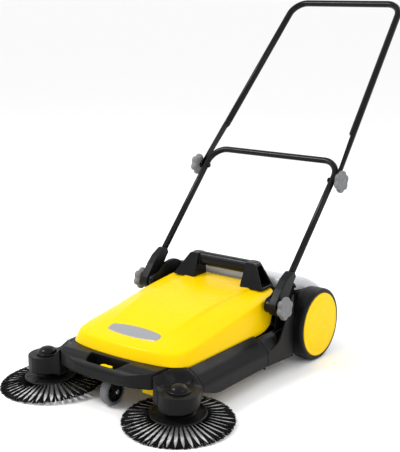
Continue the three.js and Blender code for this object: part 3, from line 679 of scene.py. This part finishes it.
# ---------------------------------------------------------------- dirt container
def make_container():
    y0 = mm_box("container_shell")[0].y
    outer = rounded([(104, 20), (104, 197.5), (y0, 197.5), (y0, 216), (14, 227), (40, 232.6),
                     (121, 210), (186, 176), (236, 130), (251.4, 100), (251.4, 21), (104.0, 20)],
                    14, 6)[:-1]
    outer = [(min(max(y, y0), 251.6), z) for y, z in outer]
    middle = np.array([128.0, 118.0])
    ends = [(184, 16), (183.2, 11), (181, 6.5), (177.5, 3), (172, 0.8), (165, 0)]
    stations = [(-x, inset) for x, inset in ends] + [(x, inset) for x, inset in ends[::-1]]
    rings = []
    for x, inset in stations:
        ring = []
        for y, z in outer:
            toward = middle - (y, z)
            distance = np.linalg.norm(toward)
            pull = inset if y > 30 or z > 205 else 0
            yy, zz = np.array((y, z)) + toward / distance * pull
            ring.append((x, yy, max(zz, 20)))
        rings.append(ring)
    vertices, faces = loft(rings, caps=True)
    front = [f for f in faces if len(f) == 4 and all(vertices[i][1] < 104.5 and
             vertices[i][2] < 197.9 for i in f)]
    faces = [f for f in faces if f not in front]
    piece = place("container_moulding", vertices, faces, SILVER, "container", "container_silver",
                  "container_shell")
    sharp_shade(piece, 40)


def make_container_grip():
    moulded("container_pull", ["container_grip"], 1.0, 4, BLACK, "container", "black_plastic")


# ---------------------------------------------------------------- push handle
# Half widths, lengths along the leg and radii of the two tubes; PRESSED is where the upper tube's
# flattened foot ends.
LEG_HALF, CROSSBAR, LOWER_R = 216, 467.5, 9
FOOT_HALF, TOP_HALF, UPPER_LENGTH, UPPER_R = 225, 187, 652, 10
CORNER, PRESSED, TUBE_SIDES = 50, 166, 28


def leaning(point, origin, lean):
    """A point in a handle's own plane (x, across, along) turned back by its lean."""
    x, n, s = point
    a = math.radians(lean)
    return (x, origin[1] + n * math.cos(a) + s * math.sin(a),
            origin[2] - n * math.sin(a) + s * math.cos(a))


def u_path(foot_half, foot_s, top_half, top_s, bend, steps=14):
    """The centre line of an upside-down U, from the right foot round to the left one."""
    leg = Vector((top_half - foot_half, top_s - foot_s)).normalized()
    turn = math.pi / 2 - math.atan2(-leg.x, leg.y)
    reach = bend * math.tan(turn / 2)
    start = Vector((top_half, top_s)) - leg * reach
    centre = Vector((start.x - bend * leg.y, start.y + bend * leg.x))
    a0 = math.atan2(start.y - centre.y, start.x - centre.x)
    right = [(foot_half, foot_s)]
    for i in range(steps + 1):
        a = a0 + turn * i / steps
        right.append((centre.x + bend * math.cos(a), centre.y + bend * math.sin(a)))
    return right + [(-x, s) for x, s in reversed(right)]


def tube_rings(path, radius, sides=TUBE_SIDES):
    rings = []
    for i, (x, s) in enumerate(path):
        before, after = path[max(i - 1, 0)], path[min(i + 1, len(path) - 1)]
        along = Vector((after[0] - before[0], after[1] - before[1])).normalized()
        out = Vector((along.y, -along.x))
        ring = []
        for k in range(sides):
            a = 2 * math.pi * k / sides
            u, n = radius * math.cos(a), radius * math.sin(a)
            ring.append((x + out.x * u, n, s + out.y * u))
        rings.append(ring)
    return rings


def joint_point(name):
    joint = next(j for j in frame["joints"] if j["name"] == name)
    return Vector(joint["pos_m"]) / MM


def make_handles():
    pivot, fold = joint_point("handle_tilt"), joint_point("handle_fold")
    lower_lean = math.degrees(math.atan2(fold.y - pivot.y, fold.z - pivot.z))
    upper_lean = lower_lean + 0.4
    path = u_path(LEG_HALF, 22, LEG_HALF, CROSSBAR, CORNER)
    vertices, faces = loft(tube_rings(path, LOWER_R))
    place("lower_tube", [leaning(v, pivot, lower_lean) for v in vertices], faces, TUBE,
          "handle_lower", "tube_black", "lower_handle")
    foot = []
    lean_in = (FOOT_HALF - TOP_HALF) / UPPER_LENGTH
    stops = [-9.8, -9, -7.5, -5, -2, 4, 15, 30, 45, 70, 95, 120, 140, 148, 151, 154, 157, 160, 163]
    for s in stops:
        centre_x = FOOT_HALF - lean_in * max(s, 0)
        wide = UPPER_R if s > 0 else math.sqrt(max(UPPER_R ** 2 - s * s, 1))
        wide *= 1 + 0.08 * (1 - smoothstep(148, 163, s))
        flat = FOOT_HALF + 1 if s < 40 else FOOT_HALF + 1 - 9 * (s - 40) / 110
        flat -= 13 * smoothstep(148, 163, s)
        ring = []
        for k in range(TUBE_SIDES):
            a = 2 * math.pi * k / TUBE_SIDES
            x = centre_x + UPPER_R * math.cos(a)
            ring.append((max(x, flat + 0.02 * (x - flat)), wide * math.sin(a), s))
        foot.append(ring)
    path = u_path(FOOT_HALF, 0, TOP_HALF, UPPER_LENGTH, CORNER)
    pressed_x = FOOT_HALF - lean_in * PRESSED
    path = [(pressed_x, PRESSED)] + path[1:-1] + [(-pressed_x, PRESSED)]
    rings = foot + tube_rings(path, UPPER_R)
    left = [[(-x, n, s) for x, n, s in ring] for ring in reversed(foot)]
    left = [[ring[(TUBE_SIDES // 2 - k) % TUBE_SIDES] for k in range(TUBE_SIDES)]
            for ring in left]
    vertices, faces = loft(rings + left)
    place("upper_tube", [leaning(v, fold, upper_lean) for v in vertices], faces, TUBE,
          "handle_upper", "tube_black", "upper_handle")
    for side, sign in SIDES:
        moulded(f"socket_{side}", [f"handle_socket_{side}"], 1.1, 5, BLACK, "handle_lower",
                "black_plastic")
        make_knob(f"pivot_knob_{side}", pivot, lower_lean, sign)
        make_knob(f"fold_knob_{side}", fold, lower_lean, sign)
        low, high = mm_box(f"fold_bolt_{side}")
        head, end = (low.x, high.x) if sign > 0 else (high.x, low.x)
        profile = [(0, head), (4, head + sign * 0.2), (7, head + sign * 1.6),
                   (7.8, head + sign * 3.4), (7.8, head + sign * 4.6), (4, head + sign * 4.7),
                   (4, end), (0, end)]
        place(f"fold_rivet_{side}", *turned(rounded(profile, 0.8), (0, fold.y, fold.z), 32), GLOSS,
              "handle_lower", "black_gloss", f"fold_bolt_{side}")
        make_washer(side, sign, pivot)


def make_washer(side, sign, pivot):
    """The pivot bolt with the broad washer between the plate and the socket."""
    low, high = mm_box(f"pivot_bolt_{side}")
    plate, socket = mm_box(f"frame_side_{side}"), mm_box(f"handle_socket_{side}")
    head, end = (low.x, high.x) if sign > 0 else (high.x, low.x)
    near = plate[0].x + 4.4 if sign > 0 else plate[1].x - 4.4
    far = socket[0].x - 0.4 if sign > 0 else socket[1].x + 0.4
    r = (high.z - low.z) / 2
    back = near - sign * 4.8
    profile = [(0, head), (6.9, head), (6.9, back), (4, back), (4, near), (r - 0.6, near),
               (r, near + sign * 1.2), (r, far), (4, far), (4, end), (0, end)]
    place(f"pivot_washer_{side}", *turned(rounded(profile, 0.5), (0, pivot.y, pivot.z), 64), GLOSS,
          "handle_lower", "black_gloss", f"pivot_bolt_{side}")


def make_knob(node, centre, lean, sign):
    """A star knob with six soft lobes, a rim step and a shallow dished face."""
    low, high = mm_box(node)
    inner = low.x if sign > 0 else high.x
    lobes, sides = 6, 144
    mean_r, lobe_height = 28.8, 2.7
    thick = (high.x - low.x) / 21
    levels = [(0.0, 0.80), (0.4, 0.84), (2.0, 0.90), (5.0, 0.93), (6.5, 0.985), (8.5, 1.0),
              (16.0, 1.0), (18.4, 0.985), (20.0, 0.95), (20.8, 0.89), (21.0, 0.80), (20.8, 0.62),
              (19.8, 0.56), (19.4, 0.5), (19.6, 0.34), (20.4, 0.3), (20.6, 0.26), (20.6, 0.02)]
    rings = []
    for depth, share in levels:
        ring = []
        for k in range(sides):
            a = 2 * math.pi * k / sides
            wave = math.cos(lobes * a)
            lobe = lobe_height * wave * (1 - 0.25 * wave) * smoothstep(0.5, 0.95, share)
            r = mean_r * share + lobe
            ring.append((inner + sign * depth * thick, r * math.cos(a), r * math.sin(a)))
        rings.append(ring)
    vertices, faces = loft(rings)
    place(f"{node}_star", [leaning(v, centre, lean) for v in vertices], faces, GREY, node,
          "knob_grey", node)


# ---------------------------------------------------------------- CAD nodes that stay in view
def paint_frame():
    """Gives every CAD node that is still shown its own detailed material."""
    shades = {"black_plastic": BLACK, "black_gloss": GLOSS, "tube_black": TUBE, "rubber": RUBBER,
              "tyre_black": TYRE, "bristle": BRISTLE, "knob_grey": GREY, "castor_grey": CASTOR,
              "container_silver": SILVER, "badge_silver": BADGE, "steel": STEEL,
              "hood_yellow": YELLOW}
    for row in frame["record"]["subparts"]:
        mesh = frame["nodes"][row["node"]].data
        mesh.materials.clear()
        mesh.materials.append(shades[row["material_slot"]])


make_camera()
make_studio()
paint_frame()
make_badge(make_hood())
make_front()
make_sides()
make_caps()
make_carry_handle()
make_castor()
make_wheels()
make_side_brushes()
make_roller()
make_container()
make_container_grip()
make_handles()
